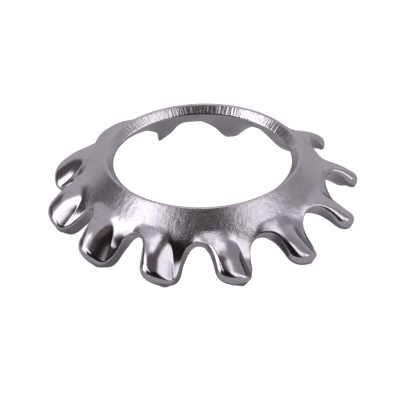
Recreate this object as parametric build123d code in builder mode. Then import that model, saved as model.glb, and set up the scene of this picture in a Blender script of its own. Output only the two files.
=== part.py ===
from build123d import *

import os
from math import cos, pi, radians, sin, tan

# Countersunk external-tooth lock washer for an M6 screw, stamped from spring steel strip.
# A ring is punched with twelve teeth and dished to a cone. The press then bends each tooth
# along its length: the one flank stands up in an arch and falls steeply to a crease, and the
# other flank is set down and falls evenly. The form starts inside the ring.
# The washer stands on its tooth tips with the small end of the cone up. +Z is the bore axis.

# ---- Driving dimensions, mm and degrees -------------------------------------------------
bore_diameter = 6.4
sheet_thickness = 0.46
cone_angle = 45.0             # fall of the coned sheet below the horizontal
ring_width = 1.30             # bore edge to gullet bottom, measured down the sheet
bore_land = 0.10              # upright stretch of the bore wall at its lower edge
rim_rounding = 0.13           # tumbled upper edge of the bore

tooth_count = 12
first_tooth_angle = 11.5
raised_side_length = 1.70     # side of the punched outline, gullet bottom to tip
lowered_side_length = 1.50
root_width = 1.54
tip_width = 1.34
raised_corner_radius = 0.60   # tip corner on the raised flank
lowered_corner_radius = 0.54  # tip corner on the lowered flank
gullet_roundness = 0.97       # corner radius as a share of the gullet's half width
gullet_web = 0.20             # how far the ring runs on beside a gullet, into its round corners
gullet_overlap = 0.03         # how far the gullet's outline runs inside the tooth walls
gullet_lean = 4.0             # the gullet's bottom wall leans out towards the underside
wall_lean = 7.7               # the bend leans both walls of a tooth towards its raised edge
tip_lean = 10.5               # and turns the end wall out towards the underside

raised_tilt = 0.5             # tilt of the sheet across the tooth at its raised edge
crease_tilt = 55.5            # the same where the raised flank falls into the crease
lowered_tilt = 24.0           # the same on the straight flank beyond the crease
crease_at_root = 0.19         # how far the crease lies from the tooth's centre line
crease_at_tip = 0.42
forming_reach = 0.63          # how far up into the ring the press has bent the sheet
window_seam = 0.06            # how far the bent sheet's visible stretch goes on under the ring
forming_length = 0.78         # distance past the gullet over which the bend grows to full
ridge_lift = 0.12             # the press draws the whole tooth out of the cone
tip_lift = 0.11               # and its tip curls further out
tip_shift = 0.18              # the press pushes the crease at the tip to one side
outline_shift = 0.025         # and the outline's tip with it

# ---- Sections along a tooth: distance past the gullet and share of the thickness ----------
# The sheet that is bent starts inside the ring, thinner than it, and swells out of it. It is
# wider and longer than the tooth by the trim, which the punched outline takes off.
trim = 0.3
section_places = [(-forming_reach, 0.80), (-forming_reach / 3, 0.94), (0, 1)]
section_places += [(forming_length * share / 3, 1) for share in (1, 2, 3)]
section_places += [(max(raised_side_length, lowered_side_length) + trim, 1)]

# ---- Derived sizes ----------------------------------------------------------------------
bore_radius = bore_diameter / 2
slope = radians(cone_angle)
down_sheet = Vector(cos(slope), 0, -sin(slope))
out_of_sheet = Vector(sin(slope), 0, cos(slope))
mid_sheet_rim = Vector(bore_radius, 0, 0) + out_of_sheet * sheet_thickness / 2
gullet_end = mid_sheet_rim + down_sheet * ring_width
tooth_pitch = 2 * pi * gullet_end.X / tooth_count
gullet_width = tooth_pitch - root_width + 2 * gullet_overlap
gullet_radius = gullet_roundness * gullet_width / 2


def between(start, end, share):
    """Return the value a share of the way from start to end, held at the start."""
    return start + (end - start) * max(share, 0)


class FormedSection:
    """The bent sheet's section across a tooth, at a distance past the gullet.

    Distances across run along the sheet from the tooth's centre line and are positive
    towards the lowered flank. Tilts are positive where the sheet falls that way. The raised
    flank is an arc, as its tilt grows evenly towards the crease, and the lowered flank
    keeps its tilt over the curve of the cone.
    """

    def __init__(self, slant, thickness_left):
        along = slant / lowered_side_length
        reached = min((slant + forming_reach) / (forming_length + forming_reach), 1)
        formed = reached * reached * (3 - 2 * reached)
        self.centre = mid_sheet_rim + down_sheet * (ring_width + slant)
        self.half_thickness = sheet_thickness * thickness_left / 2
        self.half_width = between(root_width, tip_width, along) / 2
        self.crease = between(crease_at_root, crease_at_tip, along)
        self.cone_curve = sin(slope) / self.centre.X
        edge_tilt = radians(raised_tilt) * formed - self.half_width * self.cone_curve
        self.crease_start = radians(crease_tilt) * formed + self.crease * self.cone_curve
        self.crease_end = radians(lowered_tilt) * formed + self.crease * self.cone_curve
        self.arch_curve = (self.crease_start - edge_tilt) / (self.crease + self.half_width)
        lift = ridge_lift * formed + tip_lift * between(0, 1, along) ** 2
        self.push = Vector(tip_shift * between(0, 1, along), lift)

    def arc_step(self, tilt, start_tilt, curve):
        """Return the step along an arc of sheet whose tilt goes from start_tilt to tilt."""
        return Vector(sin(tilt) - sin(start_tilt), cos(tilt) - cos(start_tilt)) / curve

    def surface_point(self, across, side):
        """Return the point on the upper (side 1) or under (side -1) face of the sheet."""
        centre_tilt = self.crease_start - self.crease * self.arch_curve
        tilt = centre_tilt + min(across, self.crease) * self.arch_curve
        middle = self.push + self.arc_step(tilt, centre_tilt, self.arch_curve)
        if across > self.crease:
            tilt = self.crease_end + (across - self.crease) * self.cone_curve
            middle += self.arc_step(tilt, self.crease_end, self.cone_curve)
        return middle + Vector(sin(tilt), cos(tilt)) * self.half_thickness * side

    def crease_point(self, side):
        """Return the mitred corner where the two flanks meet on one face of the sheet."""
        half_turn = (self.crease_start - self.crease_end) / 2
        mitre = (self.crease_start + self.crease_end) / 2
        reach = self.half_thickness * side / cos(half_turn)
        return self.surface_point(self.crease, 0) + Vector(sin(mitre), cos(mitre)) * reach

    def face_points(self, side):
        """Return the five points that carry the two arcs of one face, raised edge first."""
        edge = self.half_width + trim
        flat = [
            self.surface_point(-edge, side),
            self.surface_point((self.crease - edge) / 2, side),
            self.crease_point(side),
            self.surface_point((self.crease + edge) / 2, side),
            self.surface_point(edge, side),
        ]
        place = Plane(origin=self.centre, x_dir=(0, 1, 0), z_dir=down_sheet)
        return [place.from_local_coords(point) for point in flat]

    def rim(self):
        """Return the six edges round the section, on the tooth at angle 0."""
        upper = self.face_points(1)
        under = self.face_points(-1)
        return [
            ThreePointArc(upper[0], upper[1], upper[2]),
            ThreePointArc(upper[2], upper[3], upper[4]),
            Line(upper[4], under[4]),
            ThreePointArc(under[4], under[3], under[2]),
            ThreePointArc(under[2], under[1], under[0]),
            Line(under[0], upper[0]),
        ]


# ---- Bent sheet of one tooth: straight from each section to the next ----------------------
rims = [FormedSection(*place).rim() for place in section_places]
skin = [Face(Wire(rims[0])), Face(Wire(rims[-1]))]
for near_rim, far_rim in zip(rims, rims[1:]):
    skin += [Face.make_surface_from_curves(*pair) for pair in zip(near_rim, far_rim)]
bent_sheet = Solid(Shell(skin))

# ---- Tooth: the punched outline of the bent sheet -----------------------------------------
# The outline's Y runs up the sheet from the gullet. Its root end is an arc inside the ring.
# The walls lean, so the outlines are cut through the sheet in a slanting direction.
across_sheet = Vector(0, 1, 0)
outline_plane = Plane(origin=gullet_end, x_dir=across_sheet, z_dir=out_of_sheet)
punch_reach = 3 * sheet_thickness
wall_slant = across_sheet * tan(radians(wall_lean))
tooth_cut = out_of_sheet - down_sheet * tan(radians(tip_lean)) + wall_slant
gullet_cut = out_of_sheet - down_sheet * tan(radians(gullet_lean))
root_side = Vector(root_width / 2, 0)
tooth_way = Vector(0, lowered_side_length)
lowered_tip = Vector(outline_shift + tip_width / 2, -lowered_side_length)
raised_tip = Vector(outline_shift - tip_width / 2, -raised_side_length)

with BuildSketch(outline_plane) as tooth_outline:
    with BuildLine():
        ThreePointArc(-root_side, (0, forming_reach / 2), root_side)
        Polyline(root_side, lowered_tip, raised_tip, -root_side)
    make_face()
    fillet(tooth_outline.vertices().sort_by(Axis.Y)[0], raised_corner_radius)
    fillet(tooth_outline.vertices().sort_by_distance(lowered_tip)[0], lowered_corner_radius)

with BuildPart() as tooth:
    extrude(tooth_outline.sketch, amount=punch_reach, dir=tooth_cut, both=True)
    add(bent_sheet, mode=Mode.INTERSECT)

# ---- Window: where the bent sheet of a tooth takes the place of the plain ring -------------
with BuildSketch(outline_plane) as window_outline:
    with BuildLine():
        ThreePointArc(-root_side, (0, forming_reach / 2 - window_seam), root_side)
        Polyline(root_side, root_side - tooth_way, -root_side - tooth_way, -root_side)
    make_face()

with BuildPart() as window:
    extrude(window_outline.sketch, amount=punch_reach, dir=tooth_cut, both=True)

# ---- Gullet: the punched notch between two teeth, round at the bottom ---------------------
gullet_depth = 2 * gullet_radius
gullet_side = Vector(gullet_width / 2, 0)
gullet_spread = Vector(gullet_depth * tan(pi * cos(slope) / tooth_count), -gullet_depth)
gullet_mouth = gullet_side + gullet_spread

with BuildSketch(outline_plane) as gullet_outline:
    with BuildLine():
        Polyline((-gullet_mouth.X, gullet_mouth.Y), -gullet_side, gullet_side, gullet_mouth, close=True)
    make_face()
    fillet(gullet_outline.vertices().group_by(Axis.Y)[-1], gullet_radius)

with BuildPart() as gullet:
    extrude(gullet_outline.sketch, amount=punch_reach, dir=gullet_cut, both=True)

# ---- Washer -----------------------------------------------------------------------------
land_top = Vector(bore_radius, bore_land)
fall = Vector(cos(slope), -sin(slope)) * (ring_width + gullet_web)
rise = Vector(sin(slope), cos(slope))
under_rim = Vector(bore_radius, 0)
upper_rim = land_top + rise * (sheet_thickness - bore_land * cos(slope))
upper_end = under_rim + rise * sheet_thickness + fall

with BuildPart() as formed_washer:
    with BuildSketch(Plane.XZ) as ring_section:
        with BuildLine():
            Polyline(under_rim, land_top, upper_rim, upper_end, under_rim + fall, close=True)
        make_face()
        fillet(ring_section.vertices().group_by(Axis.Y)[-1], rim_rounding)
    revolve(axis=Axis.Z)
    with PolarLocations(0, tooth_count, start_angle=first_tooth_angle + 180 / tooth_count):
        add(gullet.part, mode=Mode.SUBTRACT)
    with PolarLocations(0, tooth_count, start_angle=first_tooth_angle):
        add(window.part, mode=Mode.SUBTRACT)
        add(tooth.part)

# The washer is lifted so that its lowest tooth corners stand on the ground.
tip_level = formed_washer.part.bounding_box().min.Z

with BuildPart() as lock_washer:
    add(formed_washer.part.moved(Location((0, 0, -tip_level))))

os.makedirs("parts", exist_ok=True)
lock_washer.part.label = "lock_washer"
export_step(lock_washer.part, "parts/lock_washer.step")
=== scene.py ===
import logging
import math
from dataclasses import dataclass, field, replace
from enum import Enum

import bpy
import numpy as np
from bpy.types import Material, Node, NodeTree, Object, World
from mathutils import Matrix, Vector


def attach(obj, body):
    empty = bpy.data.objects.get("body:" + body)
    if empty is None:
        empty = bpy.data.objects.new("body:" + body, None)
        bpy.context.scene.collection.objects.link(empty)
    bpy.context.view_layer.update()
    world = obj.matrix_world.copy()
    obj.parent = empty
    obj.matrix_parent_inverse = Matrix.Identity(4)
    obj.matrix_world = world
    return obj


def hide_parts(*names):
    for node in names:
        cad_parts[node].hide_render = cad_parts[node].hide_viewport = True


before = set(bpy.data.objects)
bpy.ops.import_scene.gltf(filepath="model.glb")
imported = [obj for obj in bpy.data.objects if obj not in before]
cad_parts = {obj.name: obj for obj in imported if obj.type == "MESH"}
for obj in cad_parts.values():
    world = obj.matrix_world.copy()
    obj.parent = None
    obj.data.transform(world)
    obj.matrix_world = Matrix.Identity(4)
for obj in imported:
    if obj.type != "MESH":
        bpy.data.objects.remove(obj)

# Conical toothed lock washer: the skin of the pressed sheet, its finish, the light and the camera.
# Shapes are worked out in millimetres and turned to metres where a mesh is made.
# +Z is the bore axis with the small end of the cone up, and the viewer stands on the -Y side.

NODE = "lock_washer"
MM = 0.001
Array = np.ndarray
log = logging.getLogger("lock_washer")


class Zone(Enum):
    """How a stretch of the skin was made. The value is the material's place on the mesh."""

    FACE = 0
    CUT = 1


def smooth_share(value: Array, start: float, end: float) -> Array:
    """Return 0 before start, 1 past end and 3s^2 - 2s^3 of the share s between them."""
    share = np.clip((value - start) / (end - start), 0.0, 1.0)
    return share * share * (3.0 - 2.0 * share)


def soft_start(share: Array, ease: float) -> Array:
    """Return s^2 / (s + ease), which starts level and then grows as fast as the share s."""
    return share * share / (share + ease)


def even_steps(count: int) -> Array:
    """Return the ends of count even steps from 0 to 1."""
    return np.linspace(0.0, 1.0, count + 1)[1:]


def quarter_turn(count: int) -> Array:
    """Return count even angles from 0 to a quarter turn."""
    return np.linspace(0.0, math.pi / 2, count)


def unit(vectors: Array) -> Array:
    """Return the vectors divided by their lengths."""
    return vectors / np.linalg.norm(vectors, axis=-1, keepdims=True)


# ---- Shape ----


@dataclass(frozen=True)
class ConedStrip:
    """Middle surface of the dished ring before the teeth are pressed.

    A place on it is a distance across, along the cone's own circle from a tooth's centre
    line, and a distance past the gullets' bottoms, down the slope.
    """

    bore_radius: float = 3.2
    thickness: float = 0.46
    fall: float = math.radians(45.0)
    ring_width: float = 1.296
    bore_edge_height: float = 2.017

    def radius(self, past: Array) -> Array:
        """Return the rim's radius plus the run of the slope, cos(fall) for each mm."""
        rim = self.bore_radius + self.thickness / 2 * math.sin(self.fall)
        return rim + (self.ring_width + past) * math.cos(self.fall)

    def height(self, past: Array) -> Array:
        """Return the rim's height less the drop of the slope, sin(fall) for each mm."""
        rim = self.bore_edge_height + self.thickness / 2 * math.cos(self.fall)
        return rim - (self.ring_width + past) * math.sin(self.fall)

    def place(self, across: Array, past: Array) -> Array:
        """Return points of the cone in a tooth's frame.

        The angle about the bore axis is the distance across over the radius.

        Args:
            across: Distance along the cone's circle from the tooth's centre line.
            past: Distance past the gullets.

        Returns:
            Radial, across and upward coordinates at each place.
        """
        radius = self.radius(past)
        turn = across / radius
        return np.stack([radius * np.cos(turn), radius * np.sin(turn), self.height(past)], axis=-1)


@dataclass(frozen=True)
class EdgeProfile:
    """Section of a punched edge, out from the face's border and down through the sheet.

    Round the raised side and the tip the die has drawn the sheet over in a wide roll. In the
    gullets and along the lowered side the edge is nearly crisp.
    """

    roll: float = 0.30  # width of the full roll
    drop: float = 0.34  # and how far it comes down
    roll_full_at: float = 0.9  # share of the way to the tip where it is full
    crisp: float = 0.09  # width and drop of the crisp edge
    foot: float = 0.07  # radius of the worn lower edge
    side_lean: float = 0.067
    side_flare: float = 0.124
    gullet_flare: float = 0.035
    tip_flare: float = 0.047
    roll_steps: int = 6
    wall_steps: int = 4
    foot_steps: int = 3

    def flare(self, middle: Array, outward: Array, fall: float, way: Array) -> Array:
        """Return how far the wall's foot stands out past its top.

        The bend leans both side walls towards the raised edge, which sets the feet towards
        the lowered one. On top of that, side walls flare by one amount and end walls by
        another that grows from the gullet to the tip. How far a wall faces sideways or down
        the slope is the product of the outward direction and that one.

        Args:
            middle: Border points on the middle surface.
            outward: Directions out of the sheet at them.
            fall: Fall of the cone.
            way: Share of the way from gullet to tip.

        Returns:
            Distance out at the foot for each point.
        """
        radial = unit(middle[:, :2])
        sideways = radial[:, 0] * outward[:, 1] - radial[:, 1] * outward[:, 0]
        level = (radial * outward[:, :2]).sum(axis=-1)
        downward = level * math.cos(fall) - outward[:, 2] * math.sin(fall)
        end = self.gullet_flare + (self.tip_flare - self.gullet_flare) * way
        side = self.side_flare * sideways**2 + self.side_lean * sideways
        return side + end * downward * np.abs(downward)

    def inset(self, share: Array, way: Array) -> Array:
        """Return how wide the roll is, which is how far the face ends inside the outline.

        It is full at the raised side, falls in a soft step to the crisp edge of the lowered
        side, and grows from crisp at the gullet's bottom.

        Args:
            share: Place across, from -1 at the raised side to 1 at the lowered one.
            way: Share of the way from gullet to tip.

        Returns:
            Width of the roll at each place.
        """
        grown = (1 - smooth_share(share, -1.0, 1.0)) * smooth_share(way, 0.0, self.roll_full_at)
        return self.crisp + (self.roll - self.crisp) * grown

    def points(self, thickness: float, inset: Array) -> Array:
        """Return the section's points at each place of a border.

        A quarter ellipse rolls over from the face, a straight wall goes down to the
        underside, and a small quarter circle, worn by the barrel, ends it. A wide roll takes
        the flare with it, and under a crisp edge the wall does.

        Args:
            thickness: Thickness of the sheet.
            inset: Width of the roll at each place.

        Returns:
            Distance out, height and share of the flare, section by border.
        """
        half = thickness / 2
        grown = (inset - self.crisp) / (self.roll - self.crisp)
        drop = self.crisp + (self.drop - self.crisp) * grown
        turn = quarter_turn(self.roll_steps + 1)[1:, None]
        rolled = np.stack([inset * np.sin(turn), half - drop * (1 - np.cos(turn))], -1)
        foot = np.stack([inset, np.full_like(inset, self.foot - half)], -1)
        way = even_steps(self.wall_steps)[:, None]
        wall = rolled[-1] + way[..., None] * (foot - rolled[-1])
        shares = [grown * np.sin(turn), grown + way * (1 - grown)]
        turn = quarter_turn(self.foot_steps + 1)[1:, None, None]
        worn = foot - self.foot * np.concatenate([1 - np.cos(turn), np.sin(turn)], -1)
        shares = np.concatenate([*shares, np.ones(worn.shape[:2])])
        return np.concatenate([np.concatenate([rolled, wall, worn]), shares[..., None]], axis=-1)


@dataclass(frozen=True)
class BoreProfile:
    """Section of the bore's edge: tumbled upper rim, leaning wall and upright land."""

    rim_inset: float = 0.14  # how far the face ends from the bore's lower edge
    reach: float = 0.033  # how far the land's top lies past that edge, up the slope
    rounding: float = 0.085
    burr: float = 0.015
    roll_steps: int = 6
    wall_steps: int = 5

    def points(self, thickness: float, fall: float) -> Array:
        """Return the section's points: distance up the slope, height and share of a flare.

        A quarter circle rounds the upper rim, the wall is square to the sheet, and the land
        cuts its foot off upright.

        Args:
            thickness: Thickness of the sheet.
            fall: Fall of the cone.

        Returns:
            One row for each point of the section, the same all round.
        """
        half = thickness / 2
        out = self.rim_inset + self.reach
        turn = quarter_turn(self.roll_steps + 1)
        across = out - self.rounding * (1 - np.sin(turn))
        rolled = np.stack([across, half - self.rounding * (1 - np.cos(turn))], -1)
        land = self.reach * math.tan(fall)
        foot = np.array([out, land - half])
        wall = rolled[-1] + even_steps(self.wall_steps)[:, None] * (foot - rolled[-1])
        end = np.array([[self.rim_inset + self.burr, self.burr - half], [self.rim_inset, -half]])
        section = np.concatenate([rolled, wall, end])
        return np.column_stack([section, np.zeros(len(section))])[:, None]


@dataclass(frozen=True)
class PressedTooth:
    """One tooth's share of the ring, punched to its outline and bent in the press.

    The tilt of the sheet across the tooth grows from the raised edge to the crease, drops
    there within the crease's width and grows a little again to the lowered edge. The
    surface is the cone plus the running sums of the sine and cosine that the tilt adds.
    """

    strip: ConedStrip = field(default_factory=ConedStrip)
    edge: EdgeProfile = field(default_factory=EdgeProfile)
    bore: BoreProfile = field(default_factory=BoreProfile)
    count: int = 12
    length: float = 1.516
    root_half: float = 0.749
    tip_half: float = 0.690
    raised_corner: float = 0.489
    lowered_corner: float = 0.51
    gullet_depth: float = 0.379  # how far the round of a gullet goes down its sides
    raised_tilt: float = math.radians(3.2)
    crease_tilt: float = math.radians(47.0)
    lowered_tilt: float = math.radians(17.1)
    lowered_edge_tilt: float = math.radians(26.1)
    arch_start: float = 0.05  # share of the arch that keeps the raised edge's tilt
    crease_root: float = 0.210
    crease_tip: float = 0.564
    crease_width: float = 0.18
    forming_start: float = -0.438
    forming_end: float = 0.80
    forming_snap: float = 0.35  # share of the bend that starts at once, not softly
    bulge_half: float = 0.86  # half width of the bow along which the bend starts
    ridge_lift: float = 0.103
    lift_slope: float = 0.2496  # curl for each tooth's length, once it has set in
    lift_ease: float = 0.3
    shift_slope: float = 0.115  # and shift to the lowered side
    shift_ease: float = 0.12
    # The grid that is laid over the face.
    columns: int = 28
    flat_columns: int = 15
    crease_columns: int = 7
    ring_rows: int = 15
    gullet_rows: int = 10
    tooth_rows: int = 27
    edge_crowding: float = 0.45  # share of the arch's spacing that is closer at its edge
    crease_margin: float = 0.16  # least distance of the crease's columns from the roll
    gathering_start: float = -0.7  # where columns start to gather towards the tooth
    flare_power: int = 6  # how few of the outer columns follow a gullet's round
    gauss_points: int = 12

    def way(self, past: Array) -> Array:
        """Return the share of the way from the gullets' bottoms to the tip, 0 above them."""
        return np.clip(past / self.length, 0.0, 1.0)

    def half_pitch(self, past: Array) -> Array:
        """Return half the circle's length over the tooth count."""
        return math.pi / self.count * self.strip.radius(past)

    def half_width(self, past: Array) -> Array:
        """Return half the tooth's width, which narrows evenly from root to tip."""
        return self.root_half + (self.tip_half - self.root_half) * self.way(past)

    def crease(self, past: Array) -> Array:
        """Return how far across the crease lies, on a straight line from root to tip."""
        return self.crease_root + (self.crease_tip - self.crease_root) * self.way(past)

    def formed(self, across: Array, past: Array) -> Array:
        """Return the share of the full bend.

        It starts on a bow inside the ring, highest on the tooth's centre line, and grows down
        the slope. A share of it starts at once and slows down with the square of what is
        left, and the rest starts and ends softly.

        Args:
            across: Distance from the tooth's centre line.
            past: Distance past the gullets.

        Returns:
            Share from 0 in the plain ring to 1 on the tooth.
        """
        bow = 1 - (across / self.bulge_half) ** 2
        start = self.forming_start * np.maximum(bow, 0.0)
        share = np.clip((past - start) / (self.forming_end - start), 0.0, 1.0)
        soft = smooth_share(share, 0.0, 1.0)
        return self.forming_snap * (1 - (1 - share) ** 2) + (1 - self.forming_snap) * soft

    def tilt(self, across: Array, past: Array) -> Array:
        """Return the tilt that the press adds across the tooth.

        On the arch it goes in a soft step from the raised edge's tilt to the crease's. Within
        the crease's width it drops smoothly to the lowered flank's tilt, which grows again
        towards the edge.

        Args:
            across: Distance from the tooth's centre line.
            past: Distance past the gullets.

        Returns:
            Added tilt in radians, positive where the sheet falls to the lowered edge.
        """
        half = self.half_width(past)
        start = self.crease(past) - self.crease_width / 2
        risen = smooth_share((across + half) / (start + half), self.arch_start, 1.0)
        arch = self.raised_tilt + (self.crease_tilt - self.raised_tilt) * risen
        beyond = np.clip((across - start) / (half - start), 0.0, 1.0)
        flat = self.lowered_tilt + (self.lowered_edge_tilt - self.lowered_tilt) * beyond
        turn = smooth_share(across - start, 0.0, self.crease_width)
        return self.formed(across, past) * (arch + (flat - arch) * turn)

    def bend_step(self, across: Array, past: Array) -> Array:
        """Return the slope that the press adds.

        It is the bent sheet's cosine and sine less those of the cone, which turns across its
        slope by sin(fall) over the radius for each mm.

        Args:
            across: Distance from the tooth's centre line.
            past: Distance past the gullets.

        Returns:
            Pull across and rise out of the cone for each mm across.
        """
        cone = math.sin(self.strip.fall) / self.strip.radius(past) * across
        bent = cone + self.tilt(across, past)
        return np.stack([np.cos(bent) - np.cos(cone), np.sin(cone) - np.sin(bent)], axis=-1)

    def bend_sum(self, across: Array, past: Array) -> Array:
        """Return the sum of the bend steps from the centre line, by Gauss's rule.

        The way is split where the tilt changes its rule, at the crease's two sides.

        Args:
            across: Distance across, within the tooth's width.
            past: Distance past the gullets.

        Returns:
            Pull across and rise out of the cone at each place.
        """
        nodes, weights = np.polynomial.legendre.leggauss(self.gauss_points)
        start = self.crease(past) - self.crease_width / 2
        stops = [np.zeros_like(across), np.minimum(across, start)]
        stops += [np.minimum(across, start + self.crease_width), across]
        total = np.zeros(across.shape + (2,))
        for low, high in zip(stops, stops[1:]):
            middle, reach = (low + high) / 2, (high - low) / 2
            at = middle[..., None] + reach[..., None] * nodes
            steps = self.bend_step(at, past[..., None] + np.zeros_like(at))
            total += np.einsum("...kc,k->...c", steps, weights) * reach[..., None]
        return total

    def displaced(self, across: Array, past: Array) -> Array:
        """Return the pull and rise of the sheet, between the teeth as well.

        Within the tooth's width it is the bend sum. Between two teeth a cubic carries the
        one tooth's lowered edge up to the next one's raised edge with their own slopes.

        Args:
            across: Distance from the tooth's centre line.
            past: Distance past the gullets.

        Returns:
            Pull across and rise out of the cone at each place.
        """
        half = self.half_width(past)
        inside = self.bend_sum(np.clip(across, -half, half), past)
        gap = 2 * (self.half_pitch(past) - half)
        beyond = np.where(across > 0, across - half, across + half)
        share = (beyond / gap + (across <= 0))[..., None]
        low, low_slope = self.bend_sum(half, past), self.bend_step(half, past)
        high, high_slope = self.bend_sum(-half, past), self.bend_step(-half, past)
        rest = 1 - share
        bridge = low * rest**2 * (1 + 2 * share) + high * share**2 * (1 + 2 * rest)
        bridge += (low_slope * share * rest**2 - high_slope * share**2 * rest) * gap[..., None]
        return np.where((np.abs(across) > half)[..., None], bridge, inside)

    def surface(self, across: Array, past: Array) -> Array:
        """Return the bent middle surface in the tooth's frame.

        It is the cone's point plus the pull across, plus the rise along the slope's normal.
        The whole tooth is lifted by its ridge, and towards the tip the sheet also curls out
        and shifts, each with a soft start.

        Args:
            across: Distance from the tooth's centre line.
            past: Distance past the gullets.

        Returns:
            Radial, across and upward coordinates at each place.
        """
        way, fall = self.way(past), self.strip.fall
        moved = self.displaced(across, past)
        between = smooth_share(np.abs(across), self.half_width(past), self.half_pitch(past))
        ridge = self.ridge_lift * self.formed(np.zeros_like(across), past) * (1 - between)
        pull = moved[..., 0] + self.shift_slope * soft_start(way, self.shift_ease)
        rise = moved[..., 1] + self.lift_slope * soft_start(way, self.lift_ease) + ridge
        shift = np.stack([rise * math.sin(fall), pull, rise * math.cos(fall)], axis=-1)
        return self.strip.place(across, past) + shift

    def normal(self, across: Array, past: Array) -> Array:
        """Return outward normals, the cross product of the surface's two steps at a place.

        Args:
            across: Distance from the tooth's centre line.
            past: Distance past the gullets.

        Returns:
            Unit normals in the tooth's frame.
        """
        step = 1e-4
        sideways = self.surface(across + step, past) - self.surface(across - step, past)
        downward = self.surface(across, past + step) - self.surface(across, past - step)
        return unit(np.cross(downward, sideways))

    def face_half(self, side: Array, past: Array) -> Array:
        """Return half the face's width on a side (-1 raised, 1 lowered), less the roll's."""
        return self.half_width(past) - self.edge.inset(side, self.way(past))

    def outline_half(self, side: Array, past: Array) -> Array:
        """Return half the width inside the rolled edge, with the round gullets beside it.

        Above the gullets it is half the pitch. Beside them it is the face's half width plus
        a quarter ellipse that opens to half the pitch at the gullet's bottom.

        Args:
            side: -1 for the raised side and 1 for the lowered one.
            past: Distance past the gullets.

        Returns:
            Distance from the centre line to the face's border.
        """
        crisp = self.edge.crisp
        bottom = self.half_pitch(-crisp) - (self.root_half - crisp)
        share = np.clip((self.gullet_depth - past) / (self.gullet_depth + crisp), 0.0, 1.0)
        opened = self.face_half(side, past) + bottom * (1 - np.sqrt(1 - share * share))
        return np.where(past <= -crisp, self.half_pitch(past), opened)

    def tip_end(self, across: Array, half: Array, place: Array) -> Array:
        """Return how far each column reaches, along a straight tip with two round corners.

        It is the length less the roll, and within a corner the circle's drop comes off too.

        Args:
            across: Distance from the tooth's centre line at the tip.
            half: Half the face's width there, on the column's side.
            place: Share across the face, from -1 at the raised side to 1 at the lowered one.

        Returns:
            Distance past the gullets, inside the rolled edge.
        """
        inset = self.edge.inset(place, 1.0)
        corner = np.where(across < 0, self.raised_corner, self.lowered_corner) - inset
        into = np.clip(np.abs(across) - (half - corner), 0.0, corner)
        return self.length - inset - corner + np.sqrt(corner * corner - into * into)

    def column_shares(self) -> tuple[Array, Array]:
        """Return each column's side of the crease and its share of the way over that side.

        Returns:
            The side, -1 for the arch, 0 for the crease and 1 for the lowered flank, and the
            share. Columns crowd at the outer edges, where the corners are round.
        """
        crowded = np.sin(quarter_turn(self.columns))[::-1]
        even = np.linspace(1.0, 0.0, self.columns)
        arch = self.edge_crowding * crowded + (1 - self.edge_crowding) * even
        band = np.linspace(-0.5, 0.5, self.crease_columns + 2)[1:-1]
        flat = np.sin(quarter_turn(self.flat_columns))
        sides = np.concatenate([-np.ones(arch.size), np.zeros(band.size), np.ones(flat.size)])
        return sides, np.concatenate([arch, band, flat])

    def grid(self) -> tuple[Array, Array, Array]:
        """Return the places of the face's grid, from the bore's rim to the tip.

        Rows step down the slope: even ones in the ring, crowded ones round the gullets, and
        on the tooth even ones that end on the tip's outline. Columns keep the crease between
        the same two of them.

        Returns:
            Distances across, distances past the gullets and widths that the roll would have
            there, rows by columns.
        """
        sides, shares = self.column_shares()
        raised, lowered = self.face_half(np.array([-1.0, 1.0]), self.length)
        halves = np.where(sides < 0, raised, lowered)
        tip = self.spread(sides, shares, lowered - self.crease_margin, halves, 0.0)
        place = 2 * (tip + raised) / (raised + lowered) - 1
        end = self.tip_end(tip, np.where(tip < 0, raised, lowered), place)
        crisp = self.edge.crisp
        ring = np.linspace(self.bore.rim_inset - self.strip.ring_width, -crisp, self.ring_rows)
        eased = 1 - np.cos(quarter_turn(self.gullet_rows))[1:]
        gullet = -crisp + (self.gullet_depth + crisp) * eased
        level = np.repeat(np.concatenate([ring, gullet])[:, None], sides.size, axis=1)
        steps = even_steps(self.tooth_rows)[:, None]
        past = np.concatenate([level, self.gullet_depth + steps * (end - self.gullet_depth)])
        blend = smooth_share(past, self.gathering_start, self.gullet_depth)
        half = self.half_pitch(past) * (1 - blend) + self.face_half(sides, past) * blend
        room = self.face_half(np.ones(sides.size), past) - self.crease_margin
        crease = np.minimum(self.crease(past), room)
        across = self.spread(sides, shares, crease, half, self.outline_half(sides, past) - half)
        return across, past, self.edge.inset(place, self.way(past))

    def spread(self, sides: Array, shares: Array, crease: Array,
               half: Array, flare: Array | float) -> Array:
        """Return distances across for the columns of the given rows.

        A column is its share of the way from the crease's side to the half width. The flare
        is added with a high power of the share, so only the outer columns follow it.

        Args:
            sides: Each column's side of the crease.
            shares: Its share of the way there.
            crease: Distance across of the crease's middle.
            half: Half width that the columns are spread over.
            flare: What the outline adds to the half width.

        Returns:
            Distances across, rows by columns.
        """
        start, end = crease - self.crease_width / 2, crease + self.crease_width / 2
        arch = start - shares * (start + half)
        flat = end + shares * (half - end)
        base = np.where(sides < 0, arch, np.where(sides > 0, flat, crease + (end - start) * shares))
        return base + sides * shares**self.flare_power * flare


@dataclass(frozen=True)
class Border:
    """Closed border of the sheet, in order round the washer.

    It has the middle surface's points, normals, directions out of the sheet and shares of
    the bend, and the numbers of both faces' points.
    """

    middle: Array
    normals: Array
    outward: Array
    pressed: Array
    upper: Array
    under: Array


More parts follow.
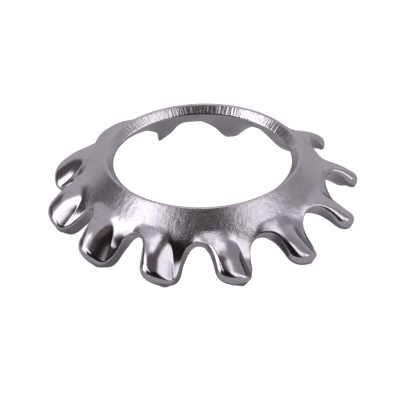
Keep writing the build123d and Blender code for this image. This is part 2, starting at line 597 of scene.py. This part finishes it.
@dataclass
class Skin:
    """Points and quads of a closed surface as they are collected."""

    points: list[Array] = field(default_factory=list)
    pressed: list[Array] = field(default_factory=list)
    quads: list[Array] = field(default_factory=list)
    zones: list[Array] = field(default_factory=list)
    strips: list[Array] = field(default_factory=list)
    used: int = 0

    def add(self, points: Array, pressed: Array) -> Array:
        """Add a grid of points.

        Args:
            points: Places of the points.
            pressed: Share of the bend at each, in the grid's own shape.

        Returns:
            The points' numbers, in the same shape.
        """
        numbers = np.arange(self.used, self.used + pressed.size).reshape(pressed.shape)
        self.points.append(points.reshape(-1, 3))
        self.pressed.append(pressed.reshape(-1))
        self.used += numbers.size
        return numbers

    def join(self, numbers: Array, zone: Zone, strip: Array, flip: bool) -> None:
        """Add a quad for each cell of a grid of point numbers.

        Args:
            numbers: Point numbers, rows by columns.
            zone: How this stretch of the skin was made.
            strip: Place along the edge and down through the sheet at each point, mm.
            flip: Whether the quads turn the other way.
        """
        near, far = slice(-1), slice(1, None)
        corners = [(near, near), (far, near), (far, far), (near, far)][:: -1 if flip else 1]
        quads = np.stack([numbers[corner] for corner in corners], -1).reshape(-1, 4)
        self.quads.append(quads)
        self.strips.append(np.stack([strip[corner] for corner in corners], -2).reshape(-1, 4, 2))
        self.zones.append(np.full(len(quads), zone.value))

    def close(self, border: Border, profile: Array, flare: Array, rolled: int, flip: bool) -> None:
        """Carry an edge's section round a border and join it to both faces.

        A point is the border's point plus its distance out along the outward direction plus
        its height along the normal. The distance grows by its share of the flare.

        Args:
            border: Border that the section is carried round.
            profile: Distance out, height and share of the flare, section by border.
            flare: Extra distance out at the foot, for each border point.
            rolled: How many of the section's points the roll takes.
            flip: Whether the quads turn the other way.
        """
        out = (profile[..., 0] + profile[..., 2] * flare)[..., None] * border.outward
        edge = border.middle + out + profile[..., 1, None] * border.normals
        numbers = self.add(edge, np.broadcast_to(border.pressed, edge.shape[:2]))
        numbers = np.concatenate([border.upper[None], numbers, border.under[None]])
        numbers = np.concatenate([numbers, numbers[:, :1]], axis=1)
        steps = np.linalg.norm(np.roll(border.middle, -1, axis=0) - border.middle, axis=-1)
        along = np.concatenate([[0.0], np.cumsum(steps)])
        height = profile[..., 1].mean(axis=1)
        depth = np.concatenate([height[:1], height, height[-1:]])
        strip = np.stack(np.meshgrid(depth, along, indexing="ij")[::-1], axis=-1)
        self.join(numbers[: rolled + 1], Zone.FACE, strip[: rolled + 1], flip)
        self.join(numbers[rolled:-1], Zone.CUT, strip[rolled:-1], flip)
        self.join(numbers[-2:], Zone.FACE, strip[-2:], flip)


@dataclass
class LockWasher:
    """The whole washer: twelve pressed teeth on one ring, closed by its punched edges."""

    tooth: PressedTooth = field(default_factory=PressedTooth)
    first_tooth: float = math.radians(11.46)  # from -Y towards +X
    piece: Object | None = None

    def turned(self, grid: Array) -> Array:
        """Turn a tooth's grid to every tooth's place about the bore axis.

        Args:
            grid: Points or directions in a tooth's frame.

        Returns:
            The turned ones, by tooth first.
        """
        pitch = 2 * math.pi / self.tooth.count
        angle = self.first_tooth - math.pi / 2 + pitch * np.arange(self.tooth.count)
        angle = angle.reshape((-1,) + (1,) * (grid.ndim - 1))
        x = grid[..., 0] * np.cos(angle) - grid[..., 1] * np.sin(angle)
        y = grid[..., 0] * np.sin(angle) + grid[..., 1] * np.cos(angle)
        return np.stack([x, y, np.broadcast_to(grid[..., 2], x.shape)], axis=-1)

    def sheet(self, tooth: PressedTooth) -> tuple[Array, Array]:
        """Return the middle surface and its normals at every tooth's place."""
        across, past, _ = tooth.grid()
        return self.turned(tooth.surface(across, past)), self.turned(tooth.normal(across, past))

    def outline(self, rows: Array) -> Array:
        """Return the values at the face's outer border, from gullet to gullet.

        Args:
            rows: Values at the grid's points, by tooth, row and column.

        Returns:
            The values in order round the washer, each gullet's bottom once.
        """
        bottom = self.tooth.ring_rows - 1
        raised = rows[:, bottom:, 0]
        lowered = rows[:, bottom + 1 : -1, -1][:, ::-1]
        ordered = np.concatenate([raised, rows[:, -1, 1:], lowered], axis=1)
        return ordered.reshape((-1,) + rows.shape[3:])

    @staticmethod
    def rim(rows: Array) -> Array:
        """Return the values at the face's border round the bore, each point once."""
        return rows[:, 0, :-1].reshape((-1,) + rows.shape[3:])

    @staticmethod
    def outward(middle: Array, normals: Array) -> Array:
        """Return the directions out of a border: its own direction crossed with the normal."""
        return unit(np.cross(np.roll(middle, -1, axis=0) - np.roll(middle, 1, axis=0), normals))

    def outline_out(self, normals: Array) -> Array:
        """Return the directions out of the punched outline at the face's border.

        They come from the border of a tooth whose edge is crisp all round, as the changing
        width of the roll would turn them. The share along the surface's normal is taken out.

        Args:
            normals: Surface normals at the face's border.

        Returns:
            Directions out of the sheet, one for each border point.
        """
        crisp = replace(self.tooth.edge, roll=self.tooth.edge.crisp)
        out = self.outward(*map(self.outline, self.sheet(replace(self.tooth, edge=crisp))))
        return unit(out - (out * normals).sum(axis=-1, keepdims=True) * normals)

    def welded(self, numbers: Array) -> Array:
        """Let neighbouring teeth share a column of points down to the gullets' bottoms.

        Args:
            numbers: Point numbers by tooth, row and column.

        Returns:
            The numbers with each shared column taken from the next tooth.
        """
        joined, shared = numbers.copy(), slice(self.tooth.ring_rows)
        joined[:, shared, -1] = np.roll(numbers, -1, axis=0)[:, shared, 0]
        return joined

    def skin(self) -> Skin:
        """Work out the closed skin: two faces, the punched outline and the bore.

        Returns:
            The collected points and quads.
        """
        tooth, strip, edge, bore = self.tooth, self.tooth.strip, self.tooth.edge, self.tooth.bore
        across, past, inset = tooth.grid()
        middle, normals = self.sheet(tooth)
        sizes = middle.shape[:3]
        pressed = np.broadcast_to(tooth.formed(across, past), sizes)
        skin, out = Skin(), strip.thickness / 2 * normals
        faces = [self.welded(skin.add(middle + side * out, pressed)) for side in (1.0, -1.0)]
        for numbers, flip in zip(faces, (False, True)):
            for rows in numbers:
                skin.join(rows, Zone.FACE, np.zeros(sizes[1:] + (2,)), flip)

        way, inset = (np.broadcast_to(values, sizes) for values in (tooth.way(past), inset))
        outward = self.outline_out(self.outline(normals))
        border = Border(self.outline(middle), self.outline(normals), outward,
                        self.outline(pressed), *map(self.outline, faces))
        flare = edge.flare(border.middle, outward, strip.fall, self.outline(way))
        section = edge.points(strip.thickness, self.outline(inset))
        skin.close(border, section, flare, edge.roll_steps, False)

        middle, normals = self.rim(middle), self.rim(normals)
        border = Border(middle, normals, -self.outward(middle, normals),
                        np.zeros(len(middle)), *map(self.rim, faces))
        section = bore.points(strip.thickness, strip.fall)
        skin.close(border, section, np.zeros(len(middle)), bore.roll_steps + 1, True)
        return skin

    def build(self) -> None:
        """Make the mesh, its edge coordinates and its attribute, and put it on the body."""
        skin = self.skin()
        quads = np.concatenate(skin.quads)
        used, places = np.unique(quads, return_inverse=True)
        points = np.concatenate(skin.points)[used] * MM
        mesh = bpy.data.meshes.new("washer_skin")
        mesh.from_pydata(points, [], places.reshape(-1, 4))
        mesh.polygons.foreach_set("material_index", np.concatenate(skin.zones))
        mesh.polygons.foreach_set("use_smooth", np.ones(len(quads), dtype=bool))
        strip = mesh.uv_layers.new(name="edge_strip")
        strip.data.foreach_set("uv", np.concatenate(skin.strips).reshape(-1) * MM)
        share = mesh.attributes.new("pressed", "FLOAT", "POINT")
        share.data.foreach_set("value", np.concatenate(skin.pressed)[used])
        mesh.update()
        self.piece = bpy.data.objects.new("pressed_washer", mesh)
        bpy.context.scene.collection.objects.link(self.piece)
        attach(self.piece, "root")
        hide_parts(NODE)
        log.info("%s: %d points, %d quads", self.piece.name, len(points), len(quads))

    def dress(self, face: "TumbledZinc", cut: "ShearedSteel") -> None:
        """Put the two finishes on the piece, in the order of the zones."""
        self.piece.data.materials.append(face.material())
        self.piece.data.materials.append(cut.material())


# ---- Finishes ----


def linear(code: str) -> tuple[float, ...]:
    """Turn an sRGB hex colour to linear values and an alpha of 1, by the sRGB curve."""
    part = np.array([int(code[place : place + 2], 16) for place in (1, 3, 5)]) / 255
    return (*np.where(part <= 0.04045, part / 12.92, ((part + 0.055) / 1.055) ** 2.4), 1.0)


def emptied_tree(owner: Material | World) -> NodeTree:
    """Turn on the nodes of a material or world and take out the ones it starts with.

    Args:
        owner: Material or world.

    Returns:
        Its empty node tree.
    """
    owner.use_nodes = True
    owner.node_tree.nodes.clear()
    return owner.node_tree


def add_node(tree: NodeTree, kind: str, settings: dict | None = None,
             links: dict | None = None) -> Node:
    """Add a node to a tree.

    Args:
        tree: Tree that the node is added to.
        kind: Blender's name of the node type, less its ShaderNode.
        settings: Values of the node's properties, or of its inputs by name or number.
        links: Sockets, or nodes for their first ones, to join to inputs by name or number.

    Returns:
        The new node.
    """
    node = tree.nodes.new("ShaderNode" + kind)
    for name, value in (settings or {}).items():
        if isinstance(name, str) and hasattr(node, name):
            setattr(node, name, value)
        else:
            node.inputs[name].default_value = value
    for name, source in (links or {}).items():
        socket = source.outputs[0] if isinstance(source, Node) else source
        tree.links.new(socket, node.inputs[name])
    return node


def per_mm(size: float) -> float:
    """Return the texture scale that gives features of a size in millimetres."""
    return 1.0 / (size * MM)


@dataclass(frozen=True)
class TumbledZinc:
    """Bright zinc plate on spring steel after barrel tumbling.

    To the eye it is a satin grey with a violet cast. The dished ring keeps the barrel's small
    dents and scratches, and the press has burnished the teeth, so they mirror more sharply.
    """

    colour: str = "#CFCBD1"
    shade: str = "#BBB6BF"
    satin: float = 0.27
    burnished: float = 0.14
    burnish_start: float = 0.05  # share of the bend where the press starts to polish
    burnish_end: float = 0.38
    dents_left: float = 0.16  # share of the dents' strength that stays on the teeth
    dent: float = 0.20
    dent_depth: float = 0.010
    speck: float = 0.05
    speck_depth: float = 0.005

    def material(self) -> Material:
        """Make the material: colour, gloss and dents from noise in the object's own space.

        Returns:
            The new material.
        """
        material = bpy.data.materials.new("tumbled_bright_zinc")
        tree = emptied_tree(material)
        place = add_node(tree, "TexCoord").outputs["Object"]
        pressed = add_node(tree, "Attribute", {"attribute_name": "pressed"}).outputs["Fac"]
        dents = add_node(tree, "TexNoise",
                         {"Scale": per_mm(self.dent), "Detail": 1.5, "Roughness": 0.5},
                         {"Vector": place})
        specks = add_node(tree, "TexNoise", {"Scale": per_mm(self.speck), "Detail": 2.0},
                          {"Vector": place})
        colour = add_node(tree, "Mix",
                          {"data_type": "RGBA", 6: linear(self.shade), 7: linear(self.colour)},
                          {0: dents}).outputs[2]
        polish = {"From Min": self.burnish_start, "From Max": self.burnish_end}
        gloss = add_node(tree, "MapRange",
                         {**polish, "To Min": self.satin, "To Max": self.burnished},
                         {"Value": pressed})
        left = add_node(tree, "MapRange", {**polish, "To Min": 1.0, "To Max": self.dents_left},
                        {"Value": pressed})
        coarse = add_node(tree, "Bump", {"Distance": self.dent_depth * MM},
                          {"Height": dents, "Strength": left})
        fine = add_node(tree, "Bump", {"Distance": self.speck_depth * MM},
                        {"Height": specks, "Strength": left, "Normal": coarse})
        shader = add_node(tree, "BsdfPrincipled", {"Metallic": 1.0},
                          {"Base Color": colour, "Roughness": gloss, "Normal": fine})
        add_node(tree, "OutputMaterial", {}, {"Surface": shader})
        return material


@dataclass(frozen=True)
class ShearedSteel:
    """Punched edge of the strip under thin zinc.

    The punch draws fine upright lines down the wall, so its shine breaks into bars. Its colour
    is painted lighter in the bore, a painted highlight for the brightly lit bore wall, and a shade
    darker round the teeth, partly where the sheet broke off rough and partly painted shade.
    """

    # Painted highlight: a lighter copy of the edge colour that stands in for the bright light on
    # the bore wall.
    bore: str = "#D2CED4"
    # Darker edge colour round the teeth: partly rough broken steel, partly painted shade.
    wall: str = "#948F97"
    line: float = 0.10
    line_depth: float = 0.022
    drawn_out: float = 0.12  # scale of the lines' noise down the wall, to that along it
    gloss: float = 0.22

    def material(self) -> Material:
        """Make the material: upright lines from noise stretched down the edge's own strip.

        Returns:
            The new material.
        """
        material = bpy.data.materials.new("sheared_zinc_edge")
        tree = emptied_tree(material)
        strip = add_node(tree, "UVMap", {"uv_map": "edge_strip"})
        drawn = add_node(tree, "Mapping", {"Scale": (1.0, self.drawn_out, 1.0)}, {"Vector": strip})
        lines = add_node(tree, "TexNoise",
                         {"Scale": per_mm(self.line), "Detail": 2.0, "Roughness": 0.6},
                         {"Vector": drawn})
        bump = add_node(tree, "Bump", {"Strength": 1.0, "Distance": self.line_depth * MM},
                        {"Height": lines})
        pressed = add_node(tree, "Attribute", {"attribute_name": "pressed"}).outputs["Fac"]
        # Painted light: the bend's share mixes the lighter bore colour into the darker tooth-wall
        # colour.
        colour = add_node(tree, "Mix",
                          {"data_type": "RGBA", 6: linear(self.bore), 7: linear(self.wall)},
                          {0: pressed}).outputs[2]
        shader = add_node(tree, "BsdfPrincipled", {"Metallic": 1.0, "Roughness": self.gloss},
                          {"Base Color": colour, "Normal": bump})
        add_node(tree, "OutputMaterial", {}, {"Surface": shader})
        return material


# ---- Studio ----


@dataclass(frozen=True)
class SoftPanel:
    """Soft-edged light or dark panel far round the washer, in degrees.

    Azimuth 0 is the viewer's side and grows towards +X. The tilt turns the panel about its
    middle.
    """

    azimuth: float
    elevation: float
    half_width: float
    half_height: float
    softness: float
    strength: float = 1.0
    tilt: float = 0.0
    colour: str = "#FFFDFF"

    def light(self) -> tuple[float, ...]:
        """Return the panel's colour times its strength."""
        return (*(part * self.strength for part in linear(self.colour)[:3]), 1.0)

    def cover(self, tree: NodeTree, place: Node) -> Node:
        """Work out where the panel covers the surroundings.

        The offset from the panel's middle is turned by the tilt. The share of the panel is the
        product of a soft step over each of its two sides.

        Args:
            tree: Node tree of the surroundings.
            place: Azimuth and elevation in radians, as x and y.

        Returns:
            Node that gives the share of the panel in each direction.
        """
        middle = (math.radians(self.azimuth), math.radians(self.elevation), 0.0)
        offset = add_node(tree, "VectorMath", {"operation": "SUBTRACT", 1: middle}, {0: place})
        turned = add_node(tree, "VectorRotate",
                          {"rotation_type": "Z_AXIS", "Angle": -math.radians(self.tilt)},
                          {"Vector": offset})
        away = add_node(tree, "VectorMath", {"operation": "ABSOLUTE"}, {0: turned})
        sides = add_node(tree, "SeparateXYZ", {}, {0: away}).outputs
        steps = [
            add_node(tree, "MapRange",
                     {"interpolation_type": "SMOOTHSTEP", "To Min": 1.0, "To Max": 0.0,
                      "From Min": math.radians(half - self.softness),
                      "From Max": math.radians(half + self.softness)}, {"Value": side})
            for side, half in zip(sides, (self.half_width, self.half_height))
        ]
        return add_node(tree, "Math", {"operation": "MULTIPLY"}, dict(enumerate(steps)))


@dataclass(frozen=True)
class Studio:
    """White table in grey surroundings with light panels at both sides and overhead."""

    table_size: float = 3.0
    table: str = "#B8B7B9"
    glow: float = 1.5
    mirrored_share: float = 0.13  # share of glow in what the metal mirrors
    seen_share: float = 0.68  # and in what the camera sees
    air: str = "#C9C4C9"
    panels: tuple[SoftPanel, ...] = (
        SoftPanel(-7.0, 3.0, 55.0, 22.0, 12.0, colour="#3C3536"),  # dim room low in front
        SoftPanel(-5.0, 38.0, 41.0, 26.0, 7.0, colour="#261E1E"),  # dark room above it
        SoftPanel(20.0, 70.0, 62.0, 12.0, 8.0, colour="#6A5F5F"),  # dim ceiling in front
        SoftPanel(-58.0, 42.5, 28.5, 10.5, 5.0, 1.85, tilt=-14.0),  # strip lamp, left
        SoftPanel(-34.0, 20.0, 20.0, 18.5, 4.0, colour="#2B2323"),  # dark gap under it
        SoftPanel(-75.0, 27.0, 14.0, 22.0, 6.0, 2.4),  # lamp at the far left
        SoftPanel(65.0, 37.0, 20.0, 20.0, 4.0, 1.5),  # lamp at the right
        SoftPanel(88.0, 10.0, 9.0, 13.0, 5.0, 1.9),  # low lamp, far right
        SoftPanel(134.0, 69.0, 18.0, 18.0, 6.0, 1.6),  # high lamp, right rear
        SoftPanel(0.0, 90.0, 200.0, 9.0, 4.0, 1.6),  # lamp overhead
        SoftPanel(-158.0, 77.0, 24.0, 9.0, 5.0, 1.5),  # high lamp, left rear
        SoftPanel(-110.0, 17.0, 20.0, 19.0, 6.0, colour="#5C555A"),  # dim wall, left rear
        SoftPanel(114.0, 30.0, 19.0, 26.0, 7.0, colour="#A6A3A8"),  # pale wall, right rear
    )

    def build(self) -> None:
        """Make the table and the surroundings that light the washer."""
        self.table_top()
        self.surroundings()

    def table_top(self) -> None:
        """Make the matt table that the tooth tips stand on.

        For the camera it glows nearly white, as an overexposed board does, and keeps a faint
        shadow. The metal mirrors it as a grey board with a small share of that glow.
        """
        half = self.table_size / 2
        corners = [(-half, -half, 0), (half, -half, 0), (half, half, 0), (-half, half, 0)]
        mesh = bpy.data.meshes.new("table")
        mesh.from_pydata(corners, [], [(0, 1, 2, 3)])
        table = bpy.data.objects.new("table", mesh)
        material = bpy.data.materials.new("matt_white_board")
        tree = emptied_tree(material)
        matt = add_node(tree, "BsdfDiffuse", {"Color": linear(self.table)})
        white = add_node(tree, "Emission", {"Strength": self.glow})
        seen = add_node(tree, "LightPath").outputs["Is Camera Ray"]
        share = add_node(tree, "MapRange",
                         {"To Min": self.mirrored_share, "To Max": self.seen_share},
                         {"Value": seen})
        both = add_node(tree, "MixShader", {}, {0: share, 1: matt, 2: white})
        add_node(tree, "OutputMaterial", {}, {"Surface": both})
        mesh.materials.append(material)
        bpy.context.scene.collection.objects.link(table)
        log.info("table: %.1f m", self.table_size)

    def surroundings(self) -> None:
        """Make the world: even grey with the panels laid over it one by one.

        A direction's azimuth is the arc tangent of x over -y and its elevation the arc sine
        of z.
        """
        world = bpy.data.worlds.new("studio")
        bpy.context.scene.world = world
        tree = emptied_tree(world)
        way = add_node(tree, "TexCoord").outputs["Generated"]
        parts = add_node(tree, "SeparateXYZ", {}, {0: way}).outputs
        front = add_node(tree, "Math", {"operation": "MULTIPLY", 1: -1.0}, {0: parts["Y"]})
        turn = add_node(tree, "Math", {"operation": "ARCTAN2"}, {0: parts["X"], 1: front})
        rise = add_node(tree, "Math", {"operation": "ARCSINE"}, {0: parts["Z"]})
        place = add_node(tree, "CombineXYZ", {}, {"X": turn, "Y": rise})
        under = {}
        for panel in self.panels:
            mix = add_node(tree, "Mix",
                           {"data_type": "RGBA", 6: linear(self.air), 7: panel.light()},
                           {0: panel.cover(tree, place), **under})
            under = {6: mix.outputs[2]}
        light = add_node(tree, "Background", {}, {"Color": under[6]})
        add_node(tree, "OutputWorld", {}, {"Surface": light})
        log.info("surroundings: %d panels", len(self.panels))


@dataclass(frozen=True)
class ProductCamera:
    """Long lens above the table, on the -Y side, with a slight roll. Sizes are in mm."""

    elevation: float = math.radians(32.459)
    roll: float = math.radians(1.276)
    distance: float = 192.0
    lens: float = 481.1
    sensor: float = 36.0
    target_height: float = 0.897
    aim_right: float = -0.1152
    aim_up: float = -0.4049
    nearest: float = 10.0
    farthest: float = 10000.0

    def build(self) -> None:
        """Make the camera and make it the scene's own.

        From looking straight down it is tipped up to its elevation and rolled. It aims at a
        point of the bore axis, moved a little in the picture's plane.
        """
        data = bpy.data.cameras.new("product_camera")
        data.lens = self.lens
        data.sensor_width = self.sensor
        data.clip_start, data.clip_end = self.nearest * MM, self.farthest * MM
        turn = Matrix.Rotation(math.pi / 2 - self.elevation, 4, "X")
        turn = turn @ Matrix.Rotation(-self.roll, 4, "Z")
        place = turn @ Vector((self.aim_right, self.aim_up, self.distance))
        place.z += self.target_height
        camera = bpy.data.objects.new("product_camera", data)
        camera.matrix_world = Matrix.Translation(place * MM) @ turn
        bpy.context.scene.collection.objects.link(camera)
        bpy.context.scene.camera = camera
        log.info("camera: lens %.1f mm at %.0f mm", self.lens, self.distance)


def main() -> None:
    """Build and dress the washer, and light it."""
    logging.basicConfig(level=logging.INFO, format="%(name)s: %(message)s")
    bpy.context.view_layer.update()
    washer = LockWasher()
    washer.build()
    washer.dress(TumbledZinc(), ShearedSteel())
    Studio().build()
    ProductCamera().build()
    bpy.context.scene.view_settings.view_transform = "Standard"


if __name__ == "__main__":
    main()
